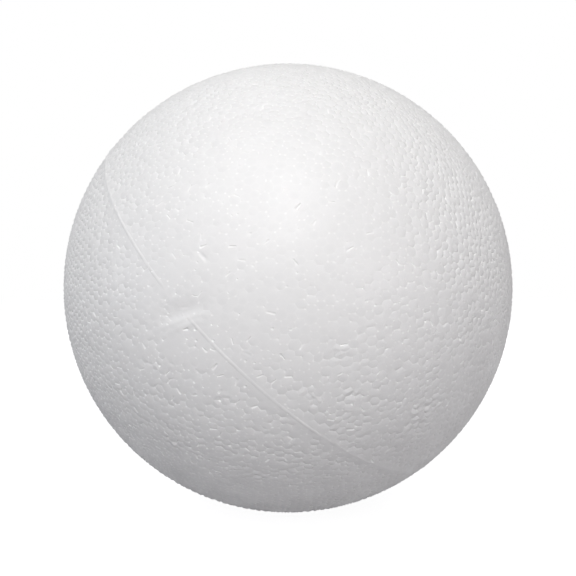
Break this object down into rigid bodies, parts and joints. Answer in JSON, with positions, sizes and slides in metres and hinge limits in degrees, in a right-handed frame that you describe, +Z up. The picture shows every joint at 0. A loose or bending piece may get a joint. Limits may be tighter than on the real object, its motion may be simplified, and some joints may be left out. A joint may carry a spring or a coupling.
{
  "type": "polystyrene ball",
  "caption": "Solid white craft ball moulded from fused expanded polystyrene beads, with a fine parting line round it and light handling marks.",
  "frame": {"origin": "centre of the ball", "axes": "+Z up as the ball hangs in the picture, the face with the knock looks along -Y, +X to that face's right; the mould's axis leans 47.3 degrees from +Z"},
  "size_m": [0.15, 0.15, 0.15],
  "materials": {
    "expanded_polystyrene": "matt, fused beads about 2 mm across with fine grooves and small gaps between them"
  },
  "bodies": {
    "root": {"ball": "expanded_polystyrene"}
  },
  "joints": []
}
